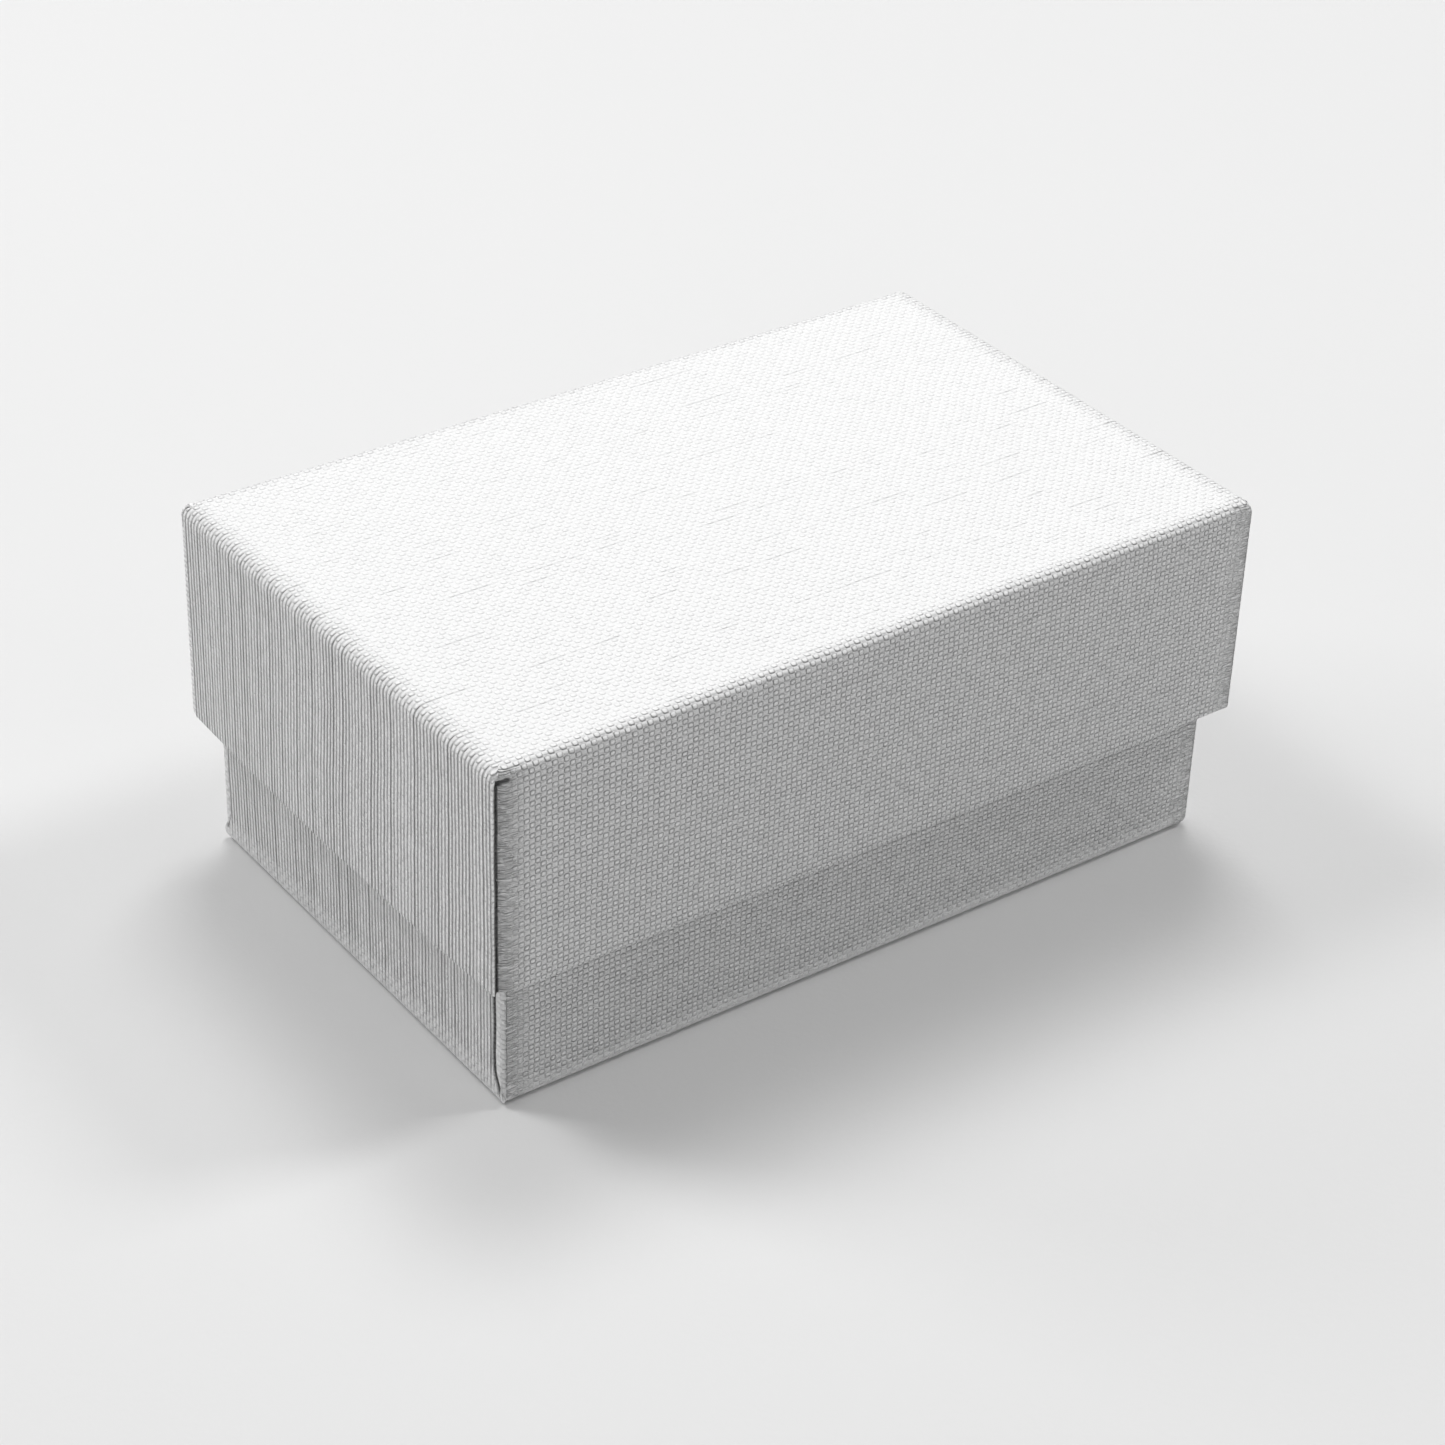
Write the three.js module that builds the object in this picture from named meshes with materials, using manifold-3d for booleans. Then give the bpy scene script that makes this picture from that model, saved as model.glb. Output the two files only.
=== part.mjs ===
// A two-piece rigid gift box for jewellery.
//
// The base and the lid are the same kind of tray: a scored greyboard blank folded up, four
// paper tapes that hold its corners, a sheet of embossed cover paper glued over the outside,
// round the rim and down inside, and a lining sheet on the panel. The lid is a tray turned
// over and slides down over the base. A foam block is glued in the base, and a velvet pad
// lies on it: a card, a sponge sheet and a velvet cover turned under the card, cut with a slot
// for a ring, two holes for earrings, two slits for a chain and a notch for the thumb.
//
// Millimetres, +Z up, X along the long side. The origin is the middle of the underside.
import * as THREE from "three";
import { mergeVertices } from "three/addons/utils/BufferGeometryUtils.js";
import Module from "manifold-3d";

const wasm = await Module();
wasm.setup();

// Outside sizes of the closed box.
const LENGTH = 80;
const WIDTH = 51;
const HEIGHT = 35;
const LID_DEPTH = 21.6;

// Sheet thicknesses, and the glue line between two sheets.
const BOARD = 1.2;
const PAPER = 0.15;
const TAPE = 0.1;
const LINING = 0.12;
const GLUE = 0.02;

// Clearances: lid round base, pieces that rest on each other, linings and pad inside a tray.
const LID_PLAY = 0.2;
const REST_GAP = 0.05;
const LINING_PLAY = 0.3;
const PAD_PLAY = 0.3;

// Bends of the cover paper: upright corners, panel to wall, and over the rim.
const CORNER_RADIUS = 1.9;
const FOLD_RADIUS = 1.1;
const RIM_RADIUS = 0.3;
const INSIDE_RADIUS = 0.2;

// How far the cover reaches down inside, and the seam between two folded walls.
const TURN_IN = 14;
const SEAM = 0.1;

// Corner tapes: reach along each wall, and what they leave free above and below.
const TAPE_REACH = 9;
const TAPE_MARGIN = 0.6;

// Foam block and velvet pad.
const FOAM = 12;
const CARD = 0.8;
const SPONGE = 5;
const VELVET = 0.5;
const TURN_UNDER = 7;
const PAD_CORNER = 1.5;
const PAD_CROWN = 1.6;

// Cuts in the pad. The ring slot is wider in the card and goes on into the foam block.
const RING_SLOT = 24;
const SLIT = 1.2;
const CARD_SLIT = 2.4;
const FOAM_SLIT = 3;
const FOAM_SLOT_DEPTH = 5;
const EARRING_HOLE = 0.8;
const EARRING_SPACING = 40;
const CHAIN_SLIT = 9;
const CHAIN_INSET = 8;
const THUMB_RADIUS = 7;
const THUMB_OUTSIDE = 1;

// Worked out from the sizes above.
const COVER_INSET = PAPER + GLUE;
const BOARD_INSET = COVER_INSET + TAPE + GLUE;
const WALL = BOARD_INSET + BOARD + GLUE + PAPER;
const BOARD_TOP = COVER_INSET + BOARD;
const PANEL = BOARD_TOP + GLUE + LINING;
const BASE_LENGTH = LENGTH - 2 * (WALL + LID_PLAY);
const BASE_WIDTH = WIDTH - 2 * (WALL + LID_PLAY);
const BASE_DEPTH = HEIGHT - PANEL - REST_GAP;
const PAD_LENGTH = BASE_LENGTH - 2 * (WALL + PAD_PLAY);
const PAD_WIDTH = BASE_WIDTH - 2 * (WALL + PAD_PLAY);
const FOAM_BOTTOM = PANEL + GLUE;
const FOAM_TOP = FOAM_BOTTOM + FOAM;
const PAD_BOTTOM = FOAM_TOP + REST_GAP;
const CARD_BOTTOM = PAD_BOTTOM + VELVET + GLUE;
const SPONGE_BOTTOM = CARD_BOTTOM + CARD + GLUE;
const SPONGE_TOP = SPONGE_BOTTOM + SPONGE;
const PAD_TOP = SPONGE_TOP + GLUE + VELVET;

// Cutters run this far past what they cut.
const PAST = 2;

const coverPaper = new THREE.MeshStandardMaterial({ color: 0xf4f3f1, roughness: 0.85, metalness: 0 });
const greyboard = new THREE.MeshStandardMaterial({ color: 0xa9a296, roughness: 0.95, metalness: 0 });
const kraftTape = new THREE.MeshStandardMaterial({ color: 0xb58f63, roughness: 0.8, metalness: 0 });
const liningPaper = new THREE.MeshStandardMaterial({ color: 0xfafaf8, roughness: 0.8, metalness: 0 });
const whiteFoam = new THREE.MeshStandardMaterial({ color: 0xf2f1ec, roughness: 1, metalness: 0 });
const padCard = new THREE.MeshStandardMaterial({ color: 0xd9d4c8, roughness: 0.9, metalness: 0 });
const padVelvet = new THREE.MeshStandardMaterial({ color: 0xf1efea, roughness: 1, metalness: 0 });

// A closed three.js geometry as a manifold solid.
function toSolid(geometry) {
  const bare = geometry.clone();
  bare.deleteAttribute("normal");
  bare.deleteAttribute("uv");
  const merged = mergeVertices(bare, 1e-4);
  return new wasm.Manifold(
    new wasm.Mesh({
      numProp: 3,
      vertProperties: merged.attributes.position.array,
      triVerts: new Uint32Array(merged.index.array),
    }),
  );
}

// A manifold solid as a named mesh.
function toMesh(name, solid, material) {
  const { vertProperties, triVerts } = solid.getMesh();
  const geometry = new THREE.BufferGeometry();
  geometry.setAttribute("position", new THREE.BufferAttribute(vertProperties, 3));
  geometry.setIndex(new THREE.BufferAttribute(triVerts, 1));
  geometry.computeVertexNormals();
  const mesh = new THREE.Mesh(geometry, material);
  mesh.name = name;
  return mesh;
}

// A rectangle with round corners, centred on the origin.
function roundedRectangle(length, width, radius) {
  const x = length / 2 - radius;
  const y = width / 2 - radius;
  const shape = new THREE.Shape();
  shape.absarc(x, y, radius, 0, Math.PI / 2);
  shape.absarc(-x, y, radius, Math.PI / 2, Math.PI);
  shape.absarc(-x, -y, radius, Math.PI, 1.5 * Math.PI);
  shape.absarc(x, -y, radius, 1.5 * Math.PI, 2 * Math.PI);
  return shape;
}

// A block from low to high with round upright corners. Its two flat ends are rounded by an
// arc that is `edge` wide and `rise` high, or left sharp where edge is 0.
function block(length, width, low, high, corner, edge = 0, rise = edge) {
  const geometry = new THREE.ExtrudeGeometry(roundedRectangle(length, width, corner), {
    depth: high - low - 2 * rise,
    curveSegments: 6,
    bevelEnabled: edge > 0,
    bevelSize: edge,
    bevelOffset: -edge,
    bevelThickness: rise,
    bevelSegments: 4,
  });
  return toSolid(geometry.translate(0, 0, low + rise));
}

// A plain box between two corners.
function box(lowX, highX, lowY, highY, low, high) {
  const geometry = new THREE.BoxGeometry(highX - lowX, highY - lowY, high - low);
  geometry.translate((lowX + highX) / 2, (lowY + highY) / 2, (low + high) / 2);
  return toSolid(geometry);
}

// A block with one radius at its panel and another at its rim.
function trayBlock(size, inset, low, high, panelEdge, panelRise, rimEdge) {
  const length = size.length - 2 * inset;
  const width = size.width - 2 * inset;
  const corner = CORNER_RADIUS - inset;
  const panelEnd = block(length, width, low, high + PAST + panelRise, corner, panelEdge, panelRise);
  const rimEnd = block(length, width, low - PAST - rimEdge, high, corner, rimEdge);
  return panelEnd.intersect(rimEnd);
}

// The cover sheet: outside, round the rim, and turned in along the inside of the walls.
function coverSolid(size) {
  const outside = trayBlock(size, 0, 0, size.depth, FOLD_RADIUS, FOLD_RADIUS, RIM_RADIUS);
  const underPaper = FOLD_RADIUS - PAPER;
  const boardSpace = trayBlock(
    size, PAPER, PAPER, size.depth - PAPER, underPaper, underPaper, RIM_RADIUS - PAPER);
  const mouthSize = [size.length - 2 * WALL, size.width - 2 * WALL];
  const mouth = block(...mouthSize, size.depth - TURN_IN - PAST, size.depth + PAST, INSIDE_RADIUS);
  const behindTurnIn = WALL - PAPER;
  const turnIn = block(
    size.length - 2 * behindTurnIn,
    size.width - 2 * behindTurnIn,
    size.depth - TURN_IN,
    size.depth - PAPER / 2,
    INSIDE_RADIUS + PAPER,
  );
  return outside.subtract(boardSpace).add(turnIn).subtract(mouth);
}

// The greyboard tray: a panel and four folded walls, the short ones butted between the long.
function boardSolid(size) {
  const edge = FOLD_RADIUS - BOARD_INSET;
  const rise = FOLD_RADIUS - COVER_INSET;
  const rim = size.depth - COVER_INSET;
  const outside = trayBlock(size, BOARD_INSET, COVER_INSET, rim, edge, rise, 0);
  const inset = BOARD_INSET + BOARD;
  const insideX = size.length / 2 - inset;
  const insideY = size.width / 2 - inset;
  const inside = block(2 * insideX, 2 * insideY, BOARD_TOP, rim + PAST, INSIDE_RADIUS);
  let tray = outside.subtract(inside);
  for (const end of [-1, 1]) {
    for (const side of [-1, 1]) {
      const x = [end * (insideX - SEAM), end * (size.length / 2)].sort((a, b) => a - b);
      const y = [side * insideY, side * (insideY - SEAM)].sort((a, b) => a - b);
      tray = tray.subtract(box(...x, ...y, BOARD_TOP, rim + PAST));
    }
  }
  return tray;
}

// One corner tape, bent round an upright corner of the board, outside it.
function tapeSolid(size, end, side) {
  const bend = new THREE.Vector2(size.length / 2 - CORNER_RADIUS, size.width / 2 - CORNER_RADIUS);
  const outer = CORNER_RADIUS - COVER_INSET;
  const inner = outer - TAPE;
  const reach = TAPE_REACH - CORNER_RADIUS;
  const shape = new THREE.Shape();
  shape.moveTo(bend.x + outer, bend.y - reach);
  shape.absarc(bend.x, bend.y, outer, 0, Math.PI / 2);
  shape.lineTo(bend.x - reach, bend.y + outer);
  shape.lineTo(bend.x - reach, bend.y + inner);
  shape.absarc(bend.x, bend.y, inner, Math.PI / 2, 0, true);
  shape.lineTo(bend.x + inner, bend.y - reach);
  const points = shape.getPoints(6).map((p) => new THREE.Vector2(end * p.x, side * p.y));
  const low = FOLD_RADIUS + TAPE_MARGIN;
  const high = size.depth - COVER_INSET - TAPE_MARGIN;
  const geometry = new THREE.ExtrudeGeometry(new THREE.Shape(points), {
    depth: high - low,
    bevelEnabled: false,
  });
  return toSolid(geometry.translate(0, 0, low));
}

// The lining sheet on the inside of the panel.
function liningSolid(size) {
  const inset = WALL + LINING_PLAY;
  return block(
    size.length - 2 * inset, size.width - 2 * inset, BOARD_TOP + GLUE, PANEL, INSIDE_RADIUS);
}

// Every piece of one covered tray, open side up. front is -1 where the tray's -Y side ends up
// as the box's front, and 1 where the tray is turned over.
function tray(prefix, size, front) {
  const group = new THREE.Group();
  group.add(toMesh(`${prefix}_board`, boardSolid(size), greyboard));
  group.add(toMesh(`${prefix}_cover`, coverSolid(size), coverPaper));
  group.add(toMesh(`${prefix}_lining`, liningSolid(size), liningPaper));
  for (const end of [-1, 1]) {
    for (const side of [-1, 1]) {
      const place = `${side === front ? "front" : "back"}_${end < 0 ? "left" : "right"}`;
      const name = `${prefix}_corner_tape_${place}`;
      group.add(toMesh(name, tapeSolid(size, end, side), kraftTape));
    }
  }
  return group;
}

// A cutter for a slot of that length and width along X, centred on x, y and turned by angle.
function slotCutter(length, width, low, high, x = 0, y = 0, angle = 0) {
  const geometry = new THREE.BoxGeometry(length, width, high - low);
  geometry.rotateZ(angle);
  return toSolid(geometry.translate(x, y, (low + high) / 2));
}

// A cutter for a round upright hole.
function holeCutter(radius, x, y, low, high, segments) {
  const geometry = new THREE.CylinderGeometry(radius, radius, high - low, segments);
  geometry.rotateX(Math.PI / 2);
  return toSolid(geometry.translate(x, y, (low + high) / 2));
}

// The ring slot, earring holes and chain slits, cut through a layer of the pad.
function cutForJewellery(layer, slit) {
  const low = PAD_BOTTOM - PAST;
  const high = PAD_TOP + PAST;
  let cut = layer.subtract(slotCutter(RING_SLOT, slit, low, high));
  for (const end of [-1, 1]) {
    cut = cut.subtract(holeCutter(EARRING_HOLE, (end * EARRING_SPACING) / 2, 0, low, high, 12));
    const slitLength = CHAIN_SLIT + PAST;
    const x = end * (PAD_LENGTH / 2 - CHAIN_INSET);
    const y = PAD_WIDTH / 2 - CHAIN_SLIT / 2 / Math.SQRT2 + PAST / 2 / Math.SQRT2;
    const turned = (end * Math.PI) / 4;
    cut = cut.subtract(slotCutter(slitLength, slit, low, high, x, y, turned));
  }
  return cut;
}

// The thumb notch in the front edge, `inset` wider all round for a layer under the velvet.
function cutThumbNotch(layer, inset) {
  const y = -PAD_WIDTH / 2 - THUMB_OUTSIDE;
  const low = PAD_BOTTOM - PAST;
  return layer.subtract(holeCutter(THUMB_RADIUS + inset, 0, y, low, PAD_TOP + PAST, 48));
}

// A flat layer of the pad between two heights.
function padLayer(inset, low, high, crown) {
  const corner = Math.max(PAD_CORNER - inset, INSIDE_RADIUS);
  return block(PAD_LENGTH - 2 * inset, PAD_WIDTH - 2 * inset, low, high, corner, crown);
}

// A pad layer with its upper edges rounded and its lower ones square.
function crownedLayer(inset, low, high, crown) {
  const below = box(-LENGTH, LENGTH, -WIDTH, WIDTH, low - LENGTH, low);
  return padLayer(inset, low - PAST - crown, high, crown).subtract(below);
}

// The velvet cover: over the sponge, down the sides and turned under the card.
function velvetSolid() {
  const outside = cutThumbNotch(crownedLayer(0, PAD_BOTTOM, PAD_TOP, PAD_CROWN - VELVET), 0);
  const crown = PAD_CROWN - 2 * VELVET;
  const filling = crownedLayer(VELVET, PAD_BOTTOM + VELVET, PAD_TOP - VELVET, crown);
  const inside = cutThumbNotch(filling, VELVET);
  const turn = VELVET + TURN_UNDER;
  const under = padLayer(turn, PAD_BOTTOM - PAST, PAD_BOTTOM + 2 * VELVET, 0);
  const opening = cutThumbNotch(under, turn);
  return cutForJewellery(outside.subtract(inside).subtract(opening), SLIT);
}

function spongeSolid() {
  const inset = VELVET + GLUE;
  const crown = PAD_CROWN - 2 * VELVET;
  const sponge = crownedLayer(inset, SPONGE_BOTTOM, SPONGE_TOP, crown);
  return cutForJewellery(cutThumbNotch(sponge, inset), SLIT);
}

function cardSolid() {
  const inset = VELVET + GLUE;
  const card = padLayer(inset, CARD_BOTTOM, CARD_BOTTOM + CARD, 0);
  return cutForJewellery(cutThumbNotch(card, inset), CARD_SLIT);
}

// The foam block under the pad, with room for the lower half of a ring.
function foamSolid() {
  const foam = block(PAD_LENGTH, PAD_WIDTH, FOAM_BOTTOM, FOAM_TOP, PAD_CORNER);
  const slotBottom = FOAM_TOP - FOAM_SLOT_DEPTH;
  return foam.subtract(slotCutter(RING_SLOT, FOAM_SLIT, slotBottom, FOAM_TOP + PAST));
}

const base = tray("base", { length: BASE_LENGTH, width: BASE_WIDTH, depth: BASE_DEPTH }, -1);

const lid = tray("lid", { length: LENGTH, width: WIDTH, depth: LID_DEPTH }, 1);
lid.rotation.x = Math.PI;
lid.position.z = HEIGHT;

const insert = new THREE.Group();
insert.add(toMesh("foam_block", foamSolid(), whiteFoam));
insert.add(toMesh("pad_card", cardSolid(), padCard));
insert.add(toMesh("pad_sponge", spongeSolid(), whiteFoam));
insert.add(toMesh("pad_velvet", velvetSolid(), padVelvet));

const giftBox = new THREE.Group();
giftBox.add(base, lid, insert);

export default giftBox;
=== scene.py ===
"""A rigid gift box for jewellery, closed: linen-embossed cover papers, boards, pad and stage."""

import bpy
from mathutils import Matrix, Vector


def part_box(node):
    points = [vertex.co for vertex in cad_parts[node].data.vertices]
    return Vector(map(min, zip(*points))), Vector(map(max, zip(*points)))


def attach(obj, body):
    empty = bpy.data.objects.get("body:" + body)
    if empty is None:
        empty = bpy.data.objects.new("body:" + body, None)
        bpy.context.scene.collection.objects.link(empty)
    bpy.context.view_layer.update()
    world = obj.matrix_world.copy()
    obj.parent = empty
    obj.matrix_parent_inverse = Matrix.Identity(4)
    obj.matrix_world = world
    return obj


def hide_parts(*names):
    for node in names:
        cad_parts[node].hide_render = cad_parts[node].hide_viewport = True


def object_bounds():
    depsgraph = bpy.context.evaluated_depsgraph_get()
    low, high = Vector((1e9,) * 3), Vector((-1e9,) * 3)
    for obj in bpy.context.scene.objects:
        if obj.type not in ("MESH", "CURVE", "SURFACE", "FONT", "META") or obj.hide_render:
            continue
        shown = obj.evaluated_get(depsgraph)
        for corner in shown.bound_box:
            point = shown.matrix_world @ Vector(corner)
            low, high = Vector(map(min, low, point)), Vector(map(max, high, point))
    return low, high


bl_info = {
    "name": "Linen Gift Box",
    "version": (1, 0, 0),
    "blender": (4, 5, 0),
    "location": "3D View > Sidebar > Gift Box",
    "description": "Covers a two-part rigid gift box in embossed paper and fits it with a velvet pad",
    "category": "Mesh",
}

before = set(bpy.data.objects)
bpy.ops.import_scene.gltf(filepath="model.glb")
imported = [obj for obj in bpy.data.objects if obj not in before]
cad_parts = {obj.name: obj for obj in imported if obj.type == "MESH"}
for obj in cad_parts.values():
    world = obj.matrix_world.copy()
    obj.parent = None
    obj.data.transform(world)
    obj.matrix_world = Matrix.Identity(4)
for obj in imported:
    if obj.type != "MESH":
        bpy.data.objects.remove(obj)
cad_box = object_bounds()

import math

import bpy
from bpy.props import FloatProperty, FloatVectorProperty, PointerProperty
from mathutils import Matrix, Vector, noise

# Pieces are modelled in millimetres and brought to metres when they are finished.
MM = 0.001

# Outline steps round one upright corner: the bend of the long wall's paper, then the crevice,
# the cut edge of the short wall's paper, and the end of the short wall.
ARC_STEPS = 7
BEND_STEPS = 10
CREVICE_STEP = 11
EDGE_INNER_STEP = 12
EDGE_OUTER_STEP = 13
CORNER_STEPS = 16

FOLD_STEPS = 6
RIM_STEPS = 3

# Where the pucker closes the open seam under the fold, in millimetres down from the panel, and
# the seam's outline there, as distances in from the short wall and from the long wall.
POCKET_OPENS = (0.45, 1.15)
CLOSED_CREVICE = (0.3, 0.3)
CLOSED_EDGE_INNER = (0.12, 0.35)
CLOSED_EDGE_OUTER = (0.03, 0.45)

# How far a seam wanders off its straight line, how deep the pucker is, and how far in from the
# end a point still belongs to a short wall.
SEAM_WANDER = 0.08
POCKET_DEPTH = 0.28
SHORT_WALL_REACH = 4


def millimetres(vector):
    return Vector(vector) / MM


def node_size(node):
    """Length, width and depth of a CAD node, in millimetres."""
    low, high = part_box(node)
    return millimetres(high - low)


def smooth(value, start, end):
    """0 below start, 1 above end, and a smooth step between them."""
    t = min(max((value - start) / (end - start), 0.0), 1.0)
    return t * t * (3 - 2 * t)


# ---------------------------------------------------------------- settings


class PaperSettings(bpy.types.PropertyGroup):
    tone: FloatVectorProperty(
        name="Paper", description="Colour of the cover paper", subtype="COLOR", size=3,
        min=0, max=1, default=(0.90, 0.90, 0.90))
    thread_across: FloatProperty(
        name="Thread across", description="Pitch of the embossed threads that run along the grain",
        default=0.512 * MM, unit="LENGTH")
    thread_along: FloatProperty(
        name="Thread along", description="Pitch of the embossed threads that run across the grain",
        default=0.538 * MM, unit="LENGTH")
    relief: FloatProperty(
        name="Relief", description="Height of the emboss", default=0.25 * MM, unit="LENGTH")
    thickness: FloatProperty(
        name="Thickness", description="Thickness of the cover paper", default=0.15 * MM,
        unit="LENGTH")
    wrinkle: FloatProperty(
        name="Wrinkle", description="Height of the creases where the paper bends round a corner",
        default=0.07 * MM, unit="LENGTH")


class BoxSettings(bpy.types.PropertyGroup):
    corner_radius: FloatProperty(
        name="Corner radius", description="Plan radius of the upright corners",
        default=1.9 * MM, unit="LENGTH")
    fold_radius: FloatProperty(
        name="Fold radius", description="Radius between a panel and its walls",
        default=1.1 * MM, unit="LENGTH")
    rim_radius: FloatProperty(
        name="Rim radius", description="Radius of the paper where it turns over a rim",
        default=0.3 * MM, unit="LENGTH")
    wall: FloatProperty(
        name="Wall", description="Thickness of a covered wall", default=1.66 * MM, unit="LENGTH")
    turn_in: FloatProperty(
        name="Turn-in", description="Reach of the cover paper down the inside of the walls",
        default=14 * MM, unit="LENGTH")
    board: FloatProperty(
        name="Board", description="Thickness of the greyboard", default=1.2 * MM, unit="LENGTH")
    lip: FloatProperty(
        name="Lip", description="How far the short walls' paper stands proud at its cut edge",
        default=0.17 * MM, unit="LENGTH")
    bulge: FloatProperty(
        name="Bulge", description="How far the rim of a short wall of the lid bows out",
        default=0.5 * MM, unit="LENGTH")
    cut: FloatProperty(
        name="Cut", description="Spacing of the cuts across the walls and panel of a cover",
        default=1.25 * MM, unit="LENGTH")
    fine_cut: FloatProperty(
        name="Fine cut", description="Spacing of the cuts round the walls of a cover",
        default=0.3 * MM, unit="LENGTH")


class PadSettings(bpy.types.PropertyGroup):
    velvet_tone: FloatVectorProperty(
        name="Velvet", description="Colour of the velvet pad", subtype="COLOR", size=3, min=0,
        max=1, default=(0.84, 0.825, 0.79))
    ring_slot: FloatProperty(
        name="Ring slot", description="Length of the slot for a ring", default=24 * MM,
        unit="LENGTH")
    chain_slit: FloatProperty(
        name="Chain slit", description="Length of the slits for a chain", default=9 * MM,
        unit="LENGTH")
    stud_spacing: FloatProperty(
        name="Stud spacing", description="Between the holes for a pair of stud earrings",
        default=40 * MM, unit="LENGTH")
    swell: FloatProperty(
        name="Swell", description="Most that the velvet rises over its sponge", default=0.9 * MM,
        unit="LENGTH")


class StageSettings(bpy.types.PropertyGroup):
    azimuth: FloatProperty(
        name="Azimuth", description="Side that the camera looks from", subtype="ANGLE",
        default=math.radians(-36.6))
    elevation: FloatProperty(
        name="Elevation", description="Height that the camera looks from", subtype="ANGLE",
        default=math.radians(32.92))
    roll: FloatProperty(
        name="Roll", description="Tilt of the camera", subtype="ANGLE", default=math.radians(1.957))
    distance: FloatProperty(
        name="Distance", description="From the camera to the box", default=0.3156, unit="LENGTH")
    lens: FloatProperty(
        name="Lens", description="Focal length", default=89.0, unit="CAMERA")
    floor_tone: FloatVectorProperty(
        name="Floor", description="Colour of the floor", subtype="COLOR", size=3, min=0, max=1,
        default=(0.77, 0.77, 0.77))
    surround: FloatProperty(
        name="Surround", description="Strength of the light from all round", default=0.28)


# ---------------------------------------------------------------- modelling


def select_none():
    if bpy.context.mode != "OBJECT":
        bpy.ops.object.mode_set(mode="OBJECT")
    bpy.ops.object.select_all(action="DESELECT")


def make_active(piece):
    select_none()
    piece.select_set(True)
    bpy.context.view_layer.objects.active = piece


def select_faces(piece, wanted):
    """In edit mode, select the faces that `wanted` says yes to, and nothing else."""
    bpy.ops.mesh.select_mode(type="FACE")
    bpy.ops.mesh.select_all(action="DESELECT")
    bpy.ops.object.mode_set(mode="OBJECT")
    for face in piece.data.polygons:
        face.select = wanted(face)
    bpy.ops.object.mode_set(mode="EDIT")


def select_edges(piece, wanted):
    """In edit mode, select the edges between vertices that `wanted` says yes to."""
    bpy.ops.mesh.select_mode(type="EDGE")
    bpy.ops.mesh.select_all(action="DESELECT")
    bpy.ops.object.mode_set(mode="OBJECT")
    points = piece.data.vertices
    for edge in piece.data.edges:
        edge.select = all(wanted(points[k].co) for k in edge.vertices)
    bpy.ops.object.mode_set(mode="EDIT")


def cut_across(position, normal):
    bpy.ops.mesh.select_all(action="SELECT")
    bpy.ops.mesh.bisect(plane_co=position, plane_no=normal, threshold=1e-4)


def cut_evenly(low, high, spacing, normal):
    """Parallel cuts through the whole mesh, evenly spaced between two places on an axis."""
    count = max(1, round((high - low) / spacing))
    for k in range(count + 1):
        place = low + (high - low) * k / count
        cut_across(Vector(normal) * place, normal)


def round_over(radius, start, end, steps):
    """Inset the selected face along an arc. Angles are from the wall, in radians."""
    for k in range(steps):
        a = start + (end - start) * k / steps
        b = start + (end - start) * (k + 1) / steps
        bpy.ops.mesh.inset(
            thickness=radius * (math.cos(a) - math.cos(b)),
            depth=radius * (math.sin(b) - math.sin(a)))


def apply_modifier(piece, kind, **values):
    make_active(piece)
    modifier = piece.modifiers.new(kind.title(), kind)
    for key, value in values.items():
        setattr(modifier, key, value)
    bpy.ops.object.modifier_apply(modifier=modifier.name)


class Seam:
    """How the paper meets at an upright corner, in millimetres.

    The long wall's paper bends round the corner with radius `bend` through `turn`, runs on
    flat for `strip`, dips into the crevice, and the short wall's paper ends in a cut edge at
    `edge` from the long wall. The seam drifts towards the corner by `drift` as it comes to
    the panel. Creases cross the bend as far as the turn `creased`, and a small pucker reaches
    `pocket` along the long wall under the fold."""

    def __init__(self, bend, turn, strip, crevice, edge, drift, creased, pocket=0.0):
        self.bend = bend
        self.turn = math.radians(turn)
        self.strip = strip
        self.crevice = crevice
        self.edge = edge
        self.drift = drift
        self.creased = math.radians(creased)
        self.pocket = pocket


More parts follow.
